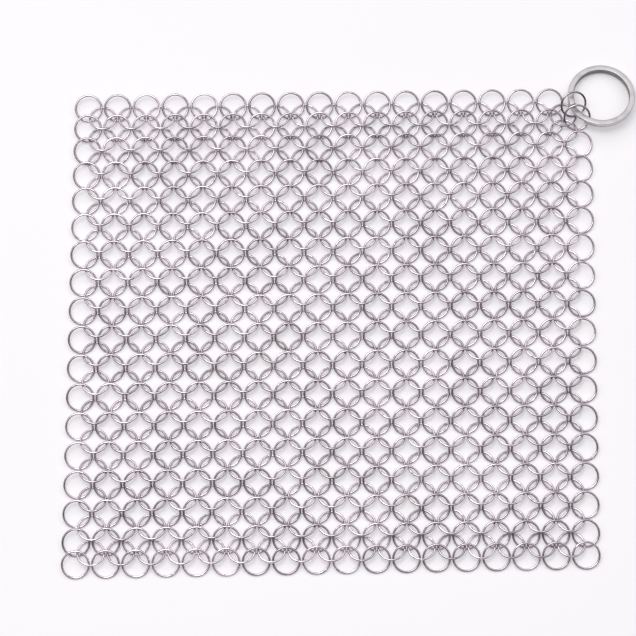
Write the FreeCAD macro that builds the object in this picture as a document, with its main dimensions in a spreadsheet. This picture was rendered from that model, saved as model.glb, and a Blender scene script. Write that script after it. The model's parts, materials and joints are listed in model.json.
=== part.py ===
"""Chain mail pot scrubber: a panel of interlinked wire rings with a split ring at one corner.

The panel lies flat on z = 0 with its rows along X and its first row at the +Y end. Main rows lean
one way and counter rows lean the other way, so that each counter ring passes through four main
rings. The lean is what lets the wires cross without touching. Lengths are in millimetres.
"""
import FreeCAD, Part
import Sketcher
import math
import os

V = FreeCAD.Vector
doc = FreeCAD.newDocument("pot_scrubber")

# Driving dimensions
SIZES = (
    # Mail rings and the weave
    ("wire_diameter", 0.8),
    ("ring_outer_diameter", 10.0),
    ("column_gap", 0.3),
    ("row_gap", 0.3),
    ("crossing_gap", 0.2586),
    ("column_count", 18),
    ("column_drift_angle", 1.7),
    # Places of the panel's middle, seen from the middle of the whole part
    ("panel_middle_x", -7.66),
    ("panel_middle_y", -4.32),
    # The last rings of the first four rows, which the split ring pulls out of place, in shares of the
    # ring's diameter. It goes through the first and the third, and the second and fourth hold those.
    ("corner_01_shift_x_share", -0.1884),
    ("corner_01_shift_y_share", -0.1525),
    ("corner_01_lift_share", 0.012),
    ("corner_01_lean_angle", 36.2),
    ("corner_01_roll_angle", 16.8),
    ("corner_02_shift_x_share", -0.0246),
    ("corner_02_shift_y_share", -0.1166),
    ("corner_03_shift_x_share", -0.0523),
    ("corner_03_shift_y_share", 0.1156),
    ("corner_03_lift_share", 0),
    ("corner_03_lean_angle", 35),
    ("corner_03_roll_angle", 1.8),
    ("corner_04_shift_x_share", -0.0027),
    ("corner_04_shift_y_share", 0.0882),
    # Split ring, wound twice from flat wire. The corner rings hold it at a place beside the first row's
    # last place, in shares of the mail ring's diameter, and its middle lies along a bearing from there.
    ("split_outer_diameter", 24.0),
    ("split_wire_width", 2.0),
    ("split_wire_height", 1.3),
    ("split_wire_edge_radius", 0.25),
    ("split_slit", 0.1),
    ("split_step_angle", 36),
    ("split_step_bearing_angle", 200),
    ("split_hold_x_share", -0.1497),
    ("split_hold_y_share", -0.3581),
    ("split_bearing_angle", 27),
    ("split_floor_gap", 0.074),
    ("split_lean_angle", -7.7),
    ("split_roll_angle", -0.8),
)

# Steps from one main row to the next, from the first row down, as shares of the row pitch.
# The panel lies bunched near its first rows and at its last one.
ROW_STEP_SHARES = (
    0.735, 0.815, 0.885, 0.925, 0.945, 0.97, 0.99, 1.0, 1.005,
    1.005, 1.005, 1.005, 1.005, 0.995, 0.985, 0.96, 0.745,
)

sheet = doc.addObject("Spreadsheet::Sheet", "sizes")
for line, (alias, number) in enumerate(SIZES, start=1):
    sheet.set("A%d" % line, alias)
    sheet.set("B%d" % line, str(number))
    sheet.setAlias("B%d" % line, alias)
doc.recompute()


def size(alias):
    """The number in the sheet's cell of that name."""
    return float(sheet.get(alias))


# Expressions that several pieces share
RING_RADIUS = "(sizes.ring_outer_diameter - sizes.wire_diameter) / 2"
WIRE_RADIUS = "sizes.wire_diameter / 2"
COLUMN_PITCH = "(sizes.ring_outer_diameter + sizes.column_gap)"
ROW_PITCH = "(sizes.ring_outer_diameter + sizes.row_gap)"
SPLIT_OUTER = "sizes.split_outer_diameter / 2"
SPLIT_INNER = "sizes.split_outer_diameter / 2 - sizes.split_wire_width"

main_row_count = len(ROW_STEP_SHARES) + 1
column_count = int(size("column_count"))
ring_radius = (size("ring_outer_diameter") - size("wire_diameter")) / 2
wire_radius = size("wire_diameter") / 2
column_pitch = size("ring_outer_diameter") + size("column_gap")
row_pitch = size("ring_outer_diameter") + size("row_gap")
pieces = []


def crossing_lean():
    """The lean, in degrees, at which crossing wires clear each other where the rows lie furthest apart.

    Seen from above, a main ring and a counter ring cross at two points. One rises to the first point as
    the other falls, so the wires lie apart there by the lean's tangent times the way between the points.
    """
    side_step = column_pitch / 2
    row_step = row_pitch * max(ROW_STEP_SHARES) / 2
    apart = math.hypot(side_step, row_step)
    half_chord = math.sqrt(ring_radius ** 2 - (apart / 2) ** 2)
    run = 2 * half_chord * side_step / apart
    return math.degrees(math.atan((size("wire_diameter") + size("crossing_gap")) / run))


ring_lean = crossing_lean()
ROW_HEIGHT = "%s * sin(%.6f deg) + %s" % (RING_RADIUS, ring_lean, WIRE_RADIUS)


def origin_feature(body, role):
    """One of a body's own planes or axes."""
    for feature in body.Origin.OriginFeatures:
        if feature.Role == role:
            return feature
    raise ValueError("no origin feature %s" % role)


def new_body(label):
    """A body that will be written to a file named by its label."""
    body = doc.addObject("PartDesign::Body", label)
    body.Label = label
    pieces.append(body)
    return body


def new_sketch(body, name):
    """A sketch on the body's XZ plane, so that its vertical axis is the body's Z axis."""
    sketch = body.newObject("Sketcher::SketchObject", name)
    sketch.AttachmentSupport = [(origin_feature(body, "XZ_Plane"), "")]
    sketch.MapMode = "FlatFace"
    return sketch


def dimension(sketch, expression, kind, *places):
    """A sketch dimension whose value is worked out from the sheet."""
    start = 1.0
    index = sketch.addConstraint(Sketcher.Constraint(kind, *places, start))
    sketch.setExpression("Constraints[%d]" % index, expression)


def row_share(main_index):
    """How far a main row lies below the first row, as a share of the row pitch."""
    return sum(ROW_STEP_SHARES[:main_index])


def row_places():
    """Each row's number, distance from the panel's middle in row pitches, and whether it is a main row."""
    middle_share = row_share(main_row_count - 1) / 2
    for number in range(2 * main_row_count - 1):
        above = row_share(number // 2)
        below = row_share((number + 1) // 2)
        yield number, middle_share - (above + below) / 2, number % 2 == 0


def place_expressions(column_share, step_share):
    """Expressions for the X and Y of a point in the weave, in column and row pitches from the middle."""
    drift = "tan(sizes.column_drift_angle * 1 deg)"
    rise = "%s * %.5f" % (ROW_PITCH, step_share)
    x_place = "sizes.panel_middle_x + %s * %.5f + %s * %s" % (COLUMN_PITCH, column_share, rise, drift)
    y_place = "sizes.panel_middle_y + %s" % rise
    return x_place, y_place


def row_turn(is_main):
    """The lean about X that all rings of a row share."""
    return FreeCAD.Rotation(V(1, 0, 0), ring_lean if is_main else -ring_lean)


def ring_row(label, ring_count, first_column_share, step_share, is_main):
    """One row of closed rings, all leaning the same way: a turned wire section, repeated along X."""
    body = new_body(label)
    profile = new_sketch(body, label + "_wire")
    circle = Part.Circle(V(ring_radius, 0, 0), V(0, 0, 1), wire_radius)
    profile.addGeometry(circle, False)
    profile.addConstraint(Sketcher.Constraint("PointOnObject", 0, 3, -1))
    dimension(profile, RING_RADIUS, "DistanceX", -1, 1, 0, 3)
    dimension(profile, "sizes.wire_diameter", "Diameter", 0)
    ring = body.newObject("PartDesign::Revolution", label + "_ring")
    ring.Profile = profile
    ring.ReferenceAxis = (profile, ["V_Axis"])
    ring.Angle = 360
    row = body.newObject("PartDesign::LinearPattern", label + "_rings")
    row.Originals = [ring]
    row.Direction = (origin_feature(body, "X_Axis"), [""])
    row.Occurrences = ring_count
    row.setExpression("Length", "%s * %d" % (COLUMN_PITCH, ring_count - 1))
    body.Tip = row
    body.Placement = FreeCAD.Placement(V(0, 0, 0), row_turn(is_main))
    x_place, y_place = place_expressions(first_column_share, step_share)
    body.setExpression("Placement.Base.x", x_place)
    body.setExpression("Placement.Base.y", y_place)
    body.setExpression("Placement.Base.z", ROW_HEIGHT)


def leaning_turn(prefix):
    """A piece's lean about X, then its roll about Y."""
    lean = FreeCAD.Rotation(V(1, 0, 0), size(prefix + "_lean_angle"))
    roll = FreeCAD.Rotation(V(0, 1, 0), size(prefix + "_roll_angle"))
    return roll.multiply(lean)


def flat_reach(turn):
    """How far a unit circle reaches down after a turn."""
    return math.sqrt(max(0, 1 - turn.multVec(V(0, 0, 1)).z ** 2))


def corner_ring(prefix, column_share, step_share, is_main):
    """The last ring of a row, pulled out of its place in the weave by the split ring."""
    label = prefix + "_ring"
    torus = doc.addObject("Part::Torus", label)
    torus.Label = label
    torus.setExpression("Radius1", RING_RADIUS)
    torus.setExpression("Radius2", WIRE_RADIUS)
    turn = leaning_turn(prefix) if is_main else row_turn(is_main)
    lift = size("ring_outer_diameter") * size(prefix + "_lift_share") if is_main else 0
    height = ring_radius * flat_reach(turn) + wire_radius + lift
    torus.Placement = FreeCAD.Placement(V(0, 0, height), turn)
    shift = " + sizes.ring_outer_diameter * sizes.%s_shift_%s_share"
    x_place, y_place = place_expressions(column_share, step_share)
    torus.setExpression("Placement.Base.x", x_place + shift % (prefix, "x"))
    torus.setExpression("Placement.Base.y", y_place + shift % (prefix, "y"))
    pieces.append(torus)


def flat_wire_section(body, name, side):
    """A flat wire's section with rounded edges, below the ring's middle (side -1) or above it (side 1)."""
    sketch = new_sketch(body, name)
    edge = size("split_wire_edge_radius")
    outer = size("split_outer_diameter") / 2
    inner = outer - size("split_wire_width")
    near = side * size("split_slit") / 2
    far = near + side * size("split_wire_height")
    low, high = min(near, far), max(near, far)
    corners = (
        (outer - edge, low + edge, -90),
        (outer - edge, high - edge, 0),
        (inner + edge, high - edge, 90),
        (inner + edge, low + edge, 180),
    )
    sides = (
        (V(inner + edge, low, 0), V(outer - edge, low, 0)),
        (V(outer, low + edge, 0), V(outer, high - edge, 0)),
        (V(outer - edge, high, 0), V(inner + edge, high, 0)),
        (V(inner, high - edge, 0), V(inner, low + edge, 0)),
    )
    for start, end in sides:
        sketch.addGeometry(Part.LineSegment(start, end), False)
    for x, y, bearing in corners:
        circle = Part.Circle(V(x, y, 0), V(0, 0, 1), edge)
        arc = Part.ArcOfCircle(circle, math.radians(bearing), math.radians(bearing + 90))
        sketch.addGeometry(arc, False)
    for index in range(4):
        sketch.addConstraint(Sketcher.Constraint("Tangent", index, 2, 4 + index, 1))
        sketch.addConstraint(Sketcher.Constraint("Tangent", 4 + index, 2, (index + 1) % 4, 1))
        level = "Horizontal" if index % 2 == 0 else "Vertical"
        sketch.addConstraint(Sketcher.Constraint(level, index))
    for index in (5, 6, 7):
        sketch.addConstraint(Sketcher.Constraint("Equal", 4, index))
    dimension(sketch, "sizes.split_wire_edge_radius", "Radius", 4)
    dimension(sketch, SPLIT_INNER, "DistanceX", -1, 1, 3, 1)
    dimension(sketch, SPLIT_OUTER, "DistanceX", -1, 1, 1, 1)
    near_line, far_line = (2, 0) if side < 0 else (0, 2)
    near_level = "sizes.split_slit / 2"
    far_level = near_level + " + sizes.split_wire_height"
    for line, level in ((near_line, near_level), (far_line, far_level)):
        if side < 0:
            dimension(sketch, level, "DistanceY", line, 1, -1, 1)
        else:
            dimension(sketch, level, "DistanceY", -1, 1, line, 1)
    return sketch


def split_coil(body, sketch, name):
    """One turn of the flat wire, less the step, turned back from the sketch's plane."""
    coil = body.newObject("PartDesign::Revolution", name)
    coil.Profile = sketch
    coil.ReferenceAxis = (sketch, ["V_Axis"])
    coil.setExpression("Angle", "360 deg - sizes.split_step_angle * 1 deg")
    coil.Reversed = True
    return coil


def split_ring(label, step_share):
    """The split ring: a lower turn, a step up and an upper turn, in one wire with a slit between."""
    body = new_body(label)
    lower_section = flat_wire_section(body, "lower_wire", -1)
    split_coil(body, lower_section, "lower_turn")
    step = body.newObject("PartDesign::AdditiveHelix", "step_between_turns")
    step.Profile = lower_section
    step.ReferenceAxis = (lower_section, ["V_Axis"])
    step.Mode = "height-turns-angle"
    step.setExpression("Height", "sizes.split_wire_height + sizes.split_slit")
    step.setExpression("Turns", "sizes.split_step_angle / 360")
    upper_section = flat_wire_section(body, "upper_wire", 1)
    body.Tip = split_coil(body, upper_section, "upper_turn")
    turn = leaning_turn("split")
    half_height = size("split_wire_height") + size("split_slit") / 2
    lift = size("split_outer_diameter") / 2 * flat_reach(turn) + half_height * turn.multVec(V(0, 0, 1)).z
    bearing = FreeCAD.Rotation(V(0, 0, 1), size("split_step_bearing_angle"))
    body.Placement = FreeCAD.Placement(V(0, 0, lift + size("split_floor_gap")), turn.multiply(bearing))
    x_place, y_place = place_expressions((column_count - 1) / 2, step_share)
    hold = " + sizes.ring_outer_diameter * sizes.split_hold_%s_share"
    reach = " + (sizes.split_outer_diameter - sizes.split_wire_width) / 2 * %s(sizes.split_bearing_angle * 1 deg)"
    body.setExpression("Placement.Base.x", x_place + hold % "x" + reach % "cos")
    body.setExpression("Placement.Base.y", y_place + hold % "y" + reach % "sin")


# The first four rows each leave their last place to a corner ring
corner_row_count = 4
for number, step_share, is_main in row_places():
    ring_count = column_count if is_main else column_count - 1
    last_column_share = (ring_count - 1) / 2
    if number == 0:
        split_ring("split_ring", step_share)
    if number < corner_row_count:
        corner_ring("corner_%02d" % (number + 1), last_column_share, step_share, is_main)
        ring_count = ring_count - 1
    ring_row("ring_row_%02d" % (number + 1), ring_count, -last_column_share, step_share, is_main)

doc.recompute()

for item in doc.Objects:
    for word in ("Invalid", "Error"):
        if word in item.State:
            raise RuntimeError("%s is in state %s" % (item.Label, item.State))
os.makedirs("parts", exist_ok=True)
for piece in pieces:
    shape = piece.Shape
    if shape.isNull() or not shape.isValid() or not shape.Solids:
        raise RuntimeError("%s has no valid solid" % piece.Label)
    shape.exportStep("parts/%s.step" % piece.Label)
whole = Part.makeCompound([piece.Shape for piece in pieces])
box = whole.BoundBox
print("pieces", len(pieces), "solids", len(whole.Solids))
print("box", [round(edge, 3) for edge in (box.XMin, box.XMax, box.YMin, box.YMax, box.ZMin, box.ZMax)])
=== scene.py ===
import bmesh
import bpy
import json
import math
import random
from mathutils import Matrix, Vector


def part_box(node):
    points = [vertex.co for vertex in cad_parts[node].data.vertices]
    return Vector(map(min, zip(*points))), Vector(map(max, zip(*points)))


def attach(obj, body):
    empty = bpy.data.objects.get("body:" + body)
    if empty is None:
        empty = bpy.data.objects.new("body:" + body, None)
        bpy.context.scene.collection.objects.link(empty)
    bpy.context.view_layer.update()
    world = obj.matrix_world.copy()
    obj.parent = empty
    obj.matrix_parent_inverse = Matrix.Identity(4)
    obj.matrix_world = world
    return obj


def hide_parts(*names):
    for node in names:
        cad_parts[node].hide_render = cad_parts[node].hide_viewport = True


# Looks of the chain mail pot scrubber: bright wire rings, a satin split ring, a pale table and soft light.
# Lengths are in metres. Rows run along X, and the first row is at the +Y end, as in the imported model.
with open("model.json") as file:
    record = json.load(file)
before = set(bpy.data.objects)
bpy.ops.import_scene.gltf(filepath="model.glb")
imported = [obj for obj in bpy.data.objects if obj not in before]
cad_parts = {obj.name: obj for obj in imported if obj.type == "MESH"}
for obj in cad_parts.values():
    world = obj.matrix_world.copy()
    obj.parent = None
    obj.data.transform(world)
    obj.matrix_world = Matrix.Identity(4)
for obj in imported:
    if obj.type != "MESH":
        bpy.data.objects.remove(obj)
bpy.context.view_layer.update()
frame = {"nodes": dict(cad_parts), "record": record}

# Mail rings, with the lean of a row in degrees
WIRE_DIAMETER = 0.0008
RING_OUTER_DIAMETER = 0.010
COLUMN_PITCH = 0.0103
RING_LEAN = 15.01
RING_STEPS = 12
WIRE_SIDES = 4
SMOOTHING_LEVELS = 1
SEAM_DISTANCE = 0.000004
TONE_SEED = 7

# Lean about X, then roll about Y, in degrees, of the rings that the split ring pulls out of place
CORNER_TURNS = {
    "corner_01_ring": (36.2, 16.8),
    "corner_02_ring": (-RING_LEAN, 0),
    "corner_03_ring": (35, 1.8),
    "corner_04_ring": (-RING_LEAN, 0),
}

# Split ring, wound twice from flat wire, with its lean and roll in degrees
SPLIT_OUTER_DIAMETER = 0.024
SPLIT_WIRE_WIDTH = 0.0020
SPLIT_WIRE_HEIGHT = 0.0013
SPLIT_EDGE_RADIUS = 0.00025
SPLIT_EDGE_STEPS = 3
SPLIT_SLIT = 0.0001
SPLIT_STEP_ANGLE = math.radians(36)
SPLIT_STEP_BEARING = math.radians(200)
SPLIT_TURN = (-7.7, -0.8)
SPLIT_STEPS_PER_TURN = 96
SQUARE_SIDES = 4
UNIT_SQUARE_RADIUS = math.sqrt(0.5)
ROUND_PROFILE = 0.5

# Painted shade on the split ring's inner wall and painted light on its outer wall: where they begin and over
# what share of the half width they grow
WALL_START_SHARE = 0.8
WALL_BLEND_SHARE = 0.2

# Materials. Colours are linear red, green, blue and alpha. A range maps its first two numbers to its last
# two. A relief is a bump's strength and distance.
WIRE_UV = "wire_uv"
UV_MIDDLE = 0.5
LINE_SCALE = 1.0
LINE_DETAIL = 3.0
STAIN_DETAIL = 4.0
WIRE_LINES = (("Along", 6.0), ("Across", 40.0), ("Stain Size", 900.0))
WIRE_DULL_COLOUR = (0.43, 0.382, 0.418, 1)
WIRE_BRIGHT_COLOUR = (0.80, 0.716, 0.78, 1)
WIRE_STAIN_COLOUR = (0.33, 0.292, 0.32, 1)
WIRE_STAIN_RANGE = (0.35, 0.75, 0.0, 0.5)
WIRE_ROUGHNESS_RANGE = (0.3, 0.7, 0.07, 0.15)
WIRE_RELIEF = (0.15, 0.00002)
WELD_COLOUR = (0.30, 0.27, 0.25, 1)
WELD_RANGE = (0.008, 0.03, 1.0, 0.0)
WELD_COLOUR_SHARE = 0.6
WELD_ROUGHNESS = 0.15
SPLIT_LINES = (("Along", 14.0), ("Across", 60.0), ("Stain Size", 350.0))
SPLIT_DARK_STREAK_COLOUR = (0.38, 0.366, 0.373, 1)
SPLIT_LIGHT_STREAK_COLOUR = (0.52, 0.503, 0.51, 1)
SPLIT_SCUFF_COLOUR = (0.34, 0.328, 0.332, 1)
SPLIT_SCUFF_RANGE = (0.45, 0.70, 0.0, 0.6)
# Painted shade on the inner wall, which stands in for the shadowed table it mirrors, and painted light on the
# outer wall
SPLIT_INNER_WALL_SHADE_COLOUR = (0.25, 0.24, 0.245, 1)
SPLIT_OUTER_WALL_LIGHT_COLOUR = (0.68, 0.66, 0.67, 1)
SPLIT_ROUGHNESS_RANGE = (0.3, 0.7, 0.34, 0.48)
SPLIT_RELIEF = (0.2, 0.00003)

# Places of the colour sockets on a Mix node, which has others of the same names
MIX_COLOUR_INPUTS = (6, 7)
MIX_COLOUR_OUTPUT = 2

# Camera: it looks down at the panel from a little below its middle in the photo
CAMERA_TILT = math.radians(15)
CAMERA_PAN = math.radians(-1.7525)
CAMERA_ROLL = math.radians(-1.3693)
CAMERA_AIM = Vector((-0.012688, -0.000301, 0))
CAMERA_DISTANCE = 0.980
CAMERA_NEAR_LIMIT = 0.01
PICTURE_PIXELS = 636
FOCAL_PIXELS = 2792.75
SENSOR_WIDTH_MM = 36

# Table. The white share is how much plain white is mixed in where the camera, metal or glass sees it.
TABLE_HALF_WIDTH = 1.5
TABLE_DARK_COLOUR = (0.915, 0.888, 0.922, 1)
TABLE_LIGHT_COLOUR = (0.935, 0.908, 0.942, 1)
TABLE_CLOUD_SCALE = 6.0
TABLE_ROUGHNESS = 0.9
TABLE_WHITE_COLOUR = (0.98, 0.955, 0.985, 1)
TABLE_WHITE_SHARE = 0.25

# Light: a square soft box with its power in watts, and a room that is dim on the camera's side and low down
LAMP_PLACE = Vector((-0.20, 0.18, 0.95))
LAMP_WIDTH = 0.52
LAMP_POWER = 3.6
ROOM_STRENGTH = 1.52
ROOM_DEPTH_RANGE = (-0.35, 0.15, 0.14, 1.0)
ROOM_HEIGHT_RANGE = (0.40, 0.58, 0.02, 1.0)

ring_radius = (RING_OUTER_DIAMETER - WIRE_DIAMETER) / 2
wire_radius = WIRE_DIAMETER / 2
tones = random.Random(TONE_SEED)


# Node helpers
def add_node(tree, kind, **settings):
    """A node of that kind with its properties set."""
    node = tree.nodes.new(kind)
    for name, value in settings.items():
        setattr(node, name, value)
    return node


def link(tree, source, target):
    """Join an output socket to an input socket."""
    tree.links.new(source, target)


def feed(tree, value, socket):
    """Give an input socket a value, which is another socket or a plain one."""
    if isinstance(value, bpy.types.NodeSocket):
        link(tree, value, socket)
    else:
        socket.default_value = value


def math_node(tree, operation, first, second=None):
    """A Math node whose inputs are sockets or numbers."""
    node = add_node(tree, "ShaderNodeMath", operation=operation)
    for index, value in enumerate((first, second)):
        if value is not None:
            feed(tree, value, node.inputs[index])
    return node.outputs[0]


def map_range(tree, value, low, high, to_low, to_high):
    """A Map Range node with a smooth step."""
    node = add_node(tree, "ShaderNodeMapRange", interpolation_type="SMOOTHSTEP")
    link(tree, value, node.inputs["Value"])
    for name, number in (("From Min", low), ("From Max", high), ("To Min", to_low), ("To Max", to_high)):
        node.inputs[name].default_value = number
    return node.outputs["Result"]


def mix_colour(tree, factor, first, second):
    """A colour between two, where each is a socket or four numbers."""
    node = add_node(tree, "ShaderNodeMix", data_type="RGBA")
    link(tree, factor, node.inputs["Factor"])
    for index, value in zip(MIX_COLOUR_INPUTS, (first, second)):
        feed(tree, value, node.inputs[index])
    return node.outputs[MIX_COLOUR_OUTPUT]


def bump(tree, height, relief, shader):
    """Surface relief from a height."""
    node = add_node(tree, "ShaderNodeBump")
    for name, value in zip(("Strength", "Distance"), relief):
        node.inputs[name].default_value = value
    link(tree, height, node.inputs["Height"])
    link(tree, node.outputs["Normal"], shader.inputs["Normal"])


def attribute(tree, name):
    """A value that the mesh carries at its points."""
    return add_node(tree, "ShaderNodeAttribute", attribute_name=name).outputs["Fac"]


def wire_place(tree):
    """The sockets of a wire's UV map: along the wire, then across it."""
    place = add_node(tree, "ShaderNodeUVMap", uv_map=WIRE_UV)
    parts = add_node(tree, "ShaderNodeSeparateXYZ")
    link(tree, place.outputs["UV"], parts.inputs[0])
    return parts.outputs[0], parts.outputs[1]


# Materials
def new_group(name, inputs, outputs):
    """A shader node group with named number sockets, and its input and output nodes."""
    group = bpy.data.node_groups.new(name, "ShaderNodeTree")
    for socket_name, default in inputs:
        socket = group.interface.new_socket(socket_name, in_out="INPUT", socket_type="NodeSocketFloat")
        socket.default_value = default
    for socket_name in outputs:
        group.interface.new_socket(socket_name, in_out="OUTPUT", socket_type="NodeSocketFloat")
    return group, group.nodes.new("NodeGroupInput"), group.nodes.new("NodeGroupOutput")


def drawn_lines_group():
    """Fine lines along a wire, which its UV map runs along, with slow stains across them."""
    group, start, end = new_group("drawn_lines", WIRE_LINES, ("Lines", "Stains"))
    along, across = wire_place(group)
    stretched = add_node(group, "ShaderNodeCombineXYZ")
    link(group, math_node(group, "MULTIPLY", along, start.outputs["Along"]), stretched.inputs[0])
    link(group, math_node(group, "MULTIPLY", across, start.outputs["Across"]), stretched.inputs[1])
    lines = add_node(group, "ShaderNodeTexNoise")
    lines.inputs["Scale"].default_value = LINE_SCALE
    lines.inputs["Detail"].default_value = LINE_DETAIL
    link(group, stretched.outputs[0], lines.inputs["Vector"])
    spot = add_node(group, "ShaderNodeTexCoord")
    stains = add_node(group, "ShaderNodeTexNoise")
    stains.inputs["Detail"].default_value = STAIN_DETAIL
    link(group, spot.outputs["Object"], stains.inputs["Vector"])
    link(group, start.outputs["Stain Size"], stains.inputs["Scale"])
    link(group, lines.outputs["Fac"], end.inputs["Lines"])
    link(group, stains.outputs["Fac"], end.inputs["Stains"])
    return group


def new_material(name):
    """A material, its node tree and its shader."""
    material = bpy.data.materials.new(name)
    material.use_nodes = True
    tree = material.node_tree
    return material, tree, tree.nodes["Principled BSDF"]


def bright_wire_material(lines_group):
    """Drawn stainless wire: each ring has its own tone, lines along the wire and a dull spot at its weld."""
    material, tree, shader = new_material("bright_wire")
    shader.inputs["Metallic"].default_value = 1.0
    lines = add_node(tree, "ShaderNodeGroup", node_tree=lines_group)
    tone = attribute(tree, "ring_tone")
    along = wire_place(tree)[0]
    from_weld = math_node(tree, "ABSOLUTE", math_node(tree, "SUBTRACT", along, UV_MIDDLE))
    weld = map_range(tree, from_weld, *WELD_RANGE)
    ring_colour = mix_colour(tree, tone, WIRE_DULL_COLOUR, WIRE_BRIGHT_COLOUR)
    stain = map_range(tree, lines.outputs["Stains"], *WIRE_STAIN_RANGE)
    stained = mix_colour(tree, stain, ring_colour, WIRE_STAIN_COLOUR)
    weld_share = math_node(tree, "MULTIPLY", weld, WELD_COLOUR_SHARE)
    link(tree, mix_colour(tree, weld_share, stained, WELD_COLOUR), shader.inputs["Base Color"])
    rough = map_range(tree, lines.outputs["Lines"], *WIRE_ROUGHNESS_RANGE)
    weld_rough = math_node(tree, "MULTIPLY", weld, WELD_ROUGHNESS)
    link(tree, math_node(tree, "ADD", rough, weld_rough), shader.inputs["Roughness"])
    bump(tree, lines.outputs["Lines"], WIRE_RELIEF, shader)
    return material


def satin_split_material(lines_group):
    """Tumbled flat wire: satin faces with fine lines along the coil, small dull scuffs, painted shade on the
    inner wall and painted light on the outer wall.
    """
    material, tree, shader = new_material("satin_split")
    shader.inputs["Metallic"].default_value = 1.0
    lines = add_node(tree, "ShaderNodeGroup", node_tree=lines_group)
    for name, value in SPLIT_LINES:
        lines.inputs[name].default_value = value
    scuffs = map_range(tree, lines.outputs["Stains"], *SPLIT_SCUFF_RANGE)
    streaked = mix_colour(tree, lines.outputs["Lines"], SPLIT_DARK_STREAK_COLOUR, SPLIT_LIGHT_STREAK_COLOUR)
    scuffed = mix_colour(tree, scuffs, streaked, SPLIT_SCUFF_COLOUR)
    # Painted shade darkens the inner wall and painted light brightens the outer wall
    inner_wall_shaded = mix_colour(tree, attribute(tree, "inner_wall_shade"), scuffed, SPLIT_INNER_WALL_SHADE_COLOUR)
    walls_shaded_and_lit = mix_colour(tree, attribute(tree, "outer_wall_light"), inner_wall_shaded, SPLIT_OUTER_WALL_LIGHT_COLOUR)
    link(tree, walls_shaded_and_lit, shader.inputs["Base Color"])
    rough = map_range(tree, lines.outputs["Lines"], *SPLIT_ROUGHNESS_RANGE)
    link(tree, rough, shader.inputs["Roughness"])
    bump(tree, lines.outputs["Lines"], SPLIT_RELIEF, shader)
    return material


def table_material():
    """Pale sheet that the panel lies on, with a very faint unevenness and some plain white mixed in."""
    material, tree, shader = new_material("pale_table")
    spot = add_node(tree, "ShaderNodeTexCoord")
    cloud = add_node(tree, "ShaderNodeTexNoise")
    cloud.inputs["Scale"].default_value = TABLE_CLOUD_SCALE
    link(tree, spot.outputs["Object"], cloud.inputs["Vector"])
    sheet_colour = mix_colour(tree, cloud.outputs["Fac"], TABLE_DARK_COLOUR, TABLE_LIGHT_COLOUR)
    link(tree, sheet_colour, shader.inputs["Base Color"])
    shader.inputs["Roughness"].default_value = TABLE_ROUGHNESS
    path = add_node(tree, "ShaderNodeLightPath")
    white = add_node(tree, "ShaderNodeEmission")
    white.inputs["Color"].default_value = TABLE_WHITE_COLOUR
    share = add_node(tree, "ShaderNodeMixShader")
    mirrored = math_node(tree, "MAXIMUM", path.outputs["Is Glossy Ray"], path.outputs["Is Transmission Ray"])
    seen = math_node(tree, "MAXIMUM", path.outputs["Is Camera Ray"], mirrored)
    link(tree, math_node(tree, "MULTIPLY", seen, TABLE_WHITE_SHARE), share.inputs["Fac"])
    link(tree, shader.outputs["BSDF"], share.inputs[1])
    link(tree, white.outputs["Emission"], share.inputs[2])
    link(tree, share.outputs["Shader"], tree.nodes["Material Output"].inputs["Surface"])
    return material


# Meshes
def drawn_in_share(sides):
    """How far a closed loop of that many sides draws in when it is subdivided until smooth."""
    return (2 + math.cos(2 * math.pi / sides)) / 3


def wrapped(angle, near):
    """The angle moved by whole turns to lie within half a turn of another."""
    return near + (angle - near + math.pi) % (2 * math.pi) - math.pi


def wire_map(bm, radius):
    """UV map of a ring about Z: U runs round the ring and V round the wire."""
    layer = bm.loops.layers.uv.new(WIRE_UV)
    for face in bm.faces:
        middle = face.calc_center_median()
        round_ring = math.atan2(middle.y, middle.x)
        round_wire = math.atan2(middle.z, math.hypot(middle.x, middle.y) - radius)
        for loop in face.loops:
            place = loop.vert.co
            u_angle = wrapped(math.atan2(place.y, place.x), round_ring)
            v_angle = wrapped(math.atan2(place.z, math.hypot(place.x, place.y) - radius), round_wire)
            loop[layer].uv = (UV_MIDDLE + u_angle / (2 * math.pi), UV_MIDDLE + v_angle / (2 * math.pi))


def plain_ring():
    """One mail ring about Z: a wire section spun round, sized so that it is true once it is smoothed."""
    bm = bmesh.new()
    round_share = drawn_in_share(RING_STEPS)
    wire_share = drawn_in_share(WIRE_SIDES)
    section = bmesh.ops.create_circle(bm, segments=WIRE_SIDES, radius=wire_radius / wire_share)
    bmesh.ops.rotate(bm, verts=section["verts"], matrix=Matrix.Rotation(math.pi / 2, 3, "X"))
    bmesh.ops.translate(bm, verts=section["verts"], vec=(ring_radius, 0, 0))
    bmesh.ops.scale(bm, verts=section["verts"], vec=(1 / round_share, 1, 1))
    bmesh.ops.spin(bm, geom=bm.verts[:] + bm.edges[:], axis=(0, 0, 1), cent=(0, 0, 0),
                   angle=2 * math.pi, steps=RING_STEPS, use_merge=True)
    bmesh.ops.remove_doubles(bm, verts=bm.verts[:], dist=SEAM_DISTANCE)
    bmesh.ops.recalc_face_normals(bm, faces=bm.faces[:])
    wire_map(bm, ring_radius / round_share)
    mesh = bpy.data.meshes.new("plain_ring")
    bm.to_mesh(mesh)
    bm.free()
    return mesh


def lean_and_roll(lean, roll):
    """The turn of a piece that leans about X and then rolls about Y, in degrees."""
    return Matrix.Rotation(math.radians(roll), 4, "Y") @ Matrix.Rotation(math.radians(lean), 4, "X")


def finished_piece(name, bm, material, node):
    """A smooth-shaded piece that replaces a node of the model and rides on that node's body."""
    mesh = bpy.data.meshes.new(name)
    bm.to_mesh(mesh)
    bm.free()
    mesh.shade_smooth()
    mesh.materials.append(material)
    piece = bpy.data.objects.new(name, mesh)
    bpy.context.scene.collection.objects.link(piece)
    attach(piece, body_of_node[node])
    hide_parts(node)
    return piece


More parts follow.
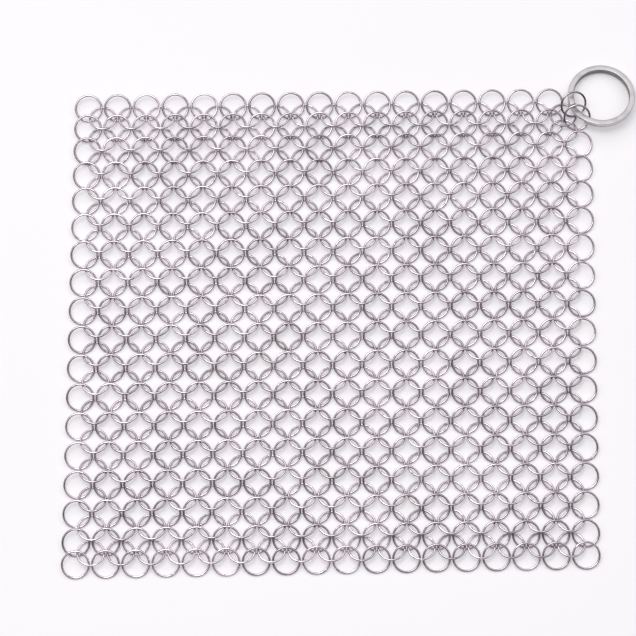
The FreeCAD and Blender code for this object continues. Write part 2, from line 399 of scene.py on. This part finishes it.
def ring_piece(node, places, turn, ring_mesh, material):
    """The rings of one node, each with its own tone and turned about its own middle, which moves its weld."""
    bm = bmesh.new()
    tone_layer = bm.verts.layers.float.new("ring_tone")
    for place in places:
        known = set(bm.verts)
        bm.from_mesh(ring_mesh)
        ring_verts = [vert for vert in bm.verts if vert not in known]
        spin = Matrix.Rotation(tones.uniform(0, 2 * math.pi), 4, "Z")
        bmesh.ops.transform(bm, matrix=Matrix.Translation(place) @ turn @ spin, verts=ring_verts)
        tone = tones.random()
        for vert in ring_verts:
            vert[tone_layer] = tone
    piece = finished_piece(node + "_wire", bm, material, node)
    rounding = piece.modifiers.new("rounding", "SUBSURF")
    rounding.levels = SMOOTHING_LEVELS
    rounding.render_levels = SMOOTHING_LEVELS


def row_places(node):
    """The middles of the rings in a row, from the row's box."""
    low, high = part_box(node)
    run = high.x - low.x - RING_OUTER_DIAMETER
    count = round(run / COLUMN_PITCH) + 1
    first = low.x + RING_OUTER_DIAMETER / 2
    middle = (low + high) / 2
    return [Vector((first + run * index / (count - 1), middle.y, middle.z)) for index in range(count)]


def painted_wall_share(outward):
    """How strongly a point gets the painted wall shade or light, from how far it lies towards the wall in
    half widths.
    """
    return min(1, max(0, (outward - WALL_START_SHARE) / WALL_BLEND_SHARE))


def coil_map(bm, radius, half_width):
    """Masks of painted shade on the inner wall and painted light on the outer wall, and UV map of the split
    ring before it is placed: U runs along the coil and V across it.
    """
    layer = bm.loops.layers.uv.new(WIRE_UV)
    inner_shade_layer = bm.verts.layers.float.new("inner_wall_shade")
    outer_light_layer = bm.verts.layers.float.new("outer_wall_light")
    for vert in bm.verts:
        outward = (math.hypot(vert.co.x, vert.co.y) - radius) / half_width
        # Painted shade on the inner wall and painted light on the outer wall, by how far each point lies out
        # from the coil's middle
        vert[inner_shade_layer] = painted_wall_share(-outward)
        vert[outer_light_layer] = painted_wall_share(outward)
    for face in bm.faces:
        middle = face.calc_center_median()
        round_coil = math.atan2(middle.y, middle.x)
        for loop in face.loops:
            place = loop.vert.co
            u_angle = wrapped(math.atan2(place.y, place.x), round_coil)
            across = (math.hypot(place.x, place.y) - radius) / half_width
            height = place.z / half_width
            loop[layer].uv = (u_angle / (2 * math.pi), across + height)


def split_ring_piece(material):
    """Two turns of flat wire with rounded edges, a step between them and a slit all round."""
    bm = bmesh.new()
    section = bmesh.ops.create_circle(bm, segments=SQUARE_SIDES, radius=UNIT_SQUARE_RADIUS)
    verts = section["verts"]
    bmesh.ops.rotate(bm, verts=verts, matrix=Matrix.Rotation(math.pi / 4, 3, "Z"))
    bmesh.ops.scale(bm, verts=verts, vec=(SPLIT_WIRE_WIDTH, SPLIT_WIRE_HEIGHT, 1))
    bmesh.ops.rotate(bm, verts=verts, matrix=Matrix.Rotation(math.pi / 2, 3, "X"))
    bmesh.ops.bevel(bm, geom=bm.verts[:], offset=SPLIT_EDGE_RADIUS, offset_type="OFFSET", affect="VERTICES",
                    segments=SPLIT_EDGE_STEPS, profile=ROUND_PROFILE, material=-1)
    middle_radius = (SPLIT_OUTER_DIAMETER - SPLIT_WIRE_WIDTH) / 2
    level = (SPLIT_WIRE_HEIGHT + SPLIT_SLIT) / 2
    bmesh.ops.translate(bm, verts=bm.verts[:], vec=(middle_radius, 0, -level))
    step_turn = Matrix.Rotation(SPLIT_STEP_ANGLE, 3, "Z")
    bmesh.ops.rotate(bm, verts=bm.verts[:], cent=(0, 0, 0), matrix=step_turn)
    first_section = bm.edges[:]
    last = bm.verts[:] + bm.edges[:]
    flat_angle = 2 * math.pi - SPLIT_STEP_ANGLE
    for angle, rise in ((flat_angle, 0), (SPLIT_STEP_ANGLE, 2 * level), (flat_angle, 0)):
        steps = max(1, round(SPLIT_STEPS_PER_TURN * angle / (2 * math.pi)))
        spun = bmesh.ops.spin(bm, geom=last, axis=(0, 0, 1), cent=(0, 0, 0), dvec=(0, 0, rise / steps),
                              angle=angle, steps=steps)
        last = spun["geom_last"]
    last_section = [item for item in last if isinstance(item, bmesh.types.BMEdge)]
    for ring in (first_section, last_section):
        bmesh.ops.contextual_create(bm, geom=ring)
    bmesh.ops.recalc_face_normals(bm, faces=bm.faces[:])
    coil_map(bm, middle_radius, SPLIT_WIRE_WIDTH / 2)
    low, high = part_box("split_ring")
    turn = lean_and_roll(*SPLIT_TURN)
    bearing = Matrix.Rotation(SPLIT_STEP_BEARING, 4, "Z")
    place = Matrix.Translation((low + high) / 2)
    bmesh.ops.transform(bm, matrix=place @ turn @ bearing, verts=bm.verts[:])
    finished_piece("split_ring_wire", bm, material, "split_ring")


# Stage
def table(material):
    """A wide pale sheet under the panel."""
    bm = bmesh.new()
    bmesh.ops.create_grid(bm, x_segments=1, y_segments=1, size=TABLE_HALF_WIDTH)
    mesh = bpy.data.meshes.new("table")
    bm.to_mesh(mesh)
    bm.free()
    mesh.materials.append(material)
    sheet = bpy.data.objects.new("table", mesh)
    bpy.context.scene.collection.objects.link(sheet)


def lamp():
    """A soft box above the far left part of the panel, facing its middle."""
    light = bpy.data.lights.new("overhead_softbox", "AREA")
    light.size = LAMP_WIDTH
    light.energy = LAMP_POWER
    holder = bpy.data.objects.new("overhead_softbox", light)
    holder.location = LAMP_PLACE
    holder.rotation_euler = (-LAMP_PLACE).to_track_quat("-Z", "Y").to_euler()
    bpy.context.scene.collection.objects.link(holder)


def room():
    """World light: bright overhead, darker towards the horizon and dimmer on the camera's side."""
    world = bpy.data.worlds.new("room")
    bpy.context.scene.world = world
    world.use_nodes = True
    tree = world.node_tree
    shader = tree.nodes["Background"]
    spot = add_node(tree, "ShaderNodeTexCoord")
    parts = add_node(tree, "ShaderNodeSeparateXYZ")
    link(tree, spot.outputs["Generated"], parts.inputs[0])
    depth = map_range(tree, parts.outputs[1], *ROOM_DEPTH_RANGE)
    height = map_range(tree, parts.outputs[2], *ROOM_HEIGHT_RANGE)
    link(tree, math_node(tree, "MULTIPLY", depth, height), shader.inputs["Color"])
    shader.inputs["Strength"].default_value = ROOM_STRENGTH


def camera():
    """The photo's view: nearly straight down, tilted a little towards the last row."""
    back = Vector((math.sin(CAMERA_PAN) * math.cos(CAMERA_TILT), -math.sin(CAMERA_TILT),
                   math.cos(CAMERA_PAN) * math.cos(CAMERA_TILT))).normalized()
    across = Vector((0, 1, 0)).cross(back).normalized()
    upward = back.cross(across)
    right = across * math.cos(CAMERA_ROLL) + upward * math.sin(CAMERA_ROLL)
    top = upward * math.cos(CAMERA_ROLL) - across * math.sin(CAMERA_ROLL)
    lens = bpy.data.cameras.new("camera")
    lens.sensor_width = SENSOR_WIDTH_MM
    lens.lens = FOCAL_PIXELS / PICTURE_PIXELS * SENSOR_WIDTH_MM
    lens.clip_start = CAMERA_NEAR_LIMIT
    eye = bpy.data.objects.new("camera", lens)
    turn = Matrix((right, top, back)).transposed().to_4x4()
    eye.matrix_world = Matrix.Translation(CAMERA_AIM + back * CAMERA_DISTANCE) @ turn
    bpy.context.scene.collection.objects.link(eye)
    bpy.context.scene.camera = eye


body_of_node = {}
for body, nodes in frame["record"]["behaviour"]["bodies"].items():
    for node in nodes:
        body_of_node[node] = body
lines_group = drawn_lines_group()
wire_material = bright_wire_material(lines_group)
ring_mesh = plain_ring()
for node in sorted(frame["nodes"]):
    if node.startswith("ring_row_"):
        is_main = int(node[-2:]) % 2 == 1
        row_turn = lean_and_roll(RING_LEAN if is_main else -RING_LEAN, 0)
        ring_piece(node, row_places(node), row_turn, ring_mesh, wire_material)
    elif node in CORNER_TURNS:
        low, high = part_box(node)
        ring_piece(node, [(low + high) / 2], lean_and_roll(*CORNER_TURNS[node]), ring_mesh, wire_material)
bpy.data.meshes.remove(ring_mesh)
split_ring_piece(satin_split_material(lines_group))
table(table_material())
lamp()
room()
camera()
bpy.context.scene.view_settings.view_transform = "Standard"
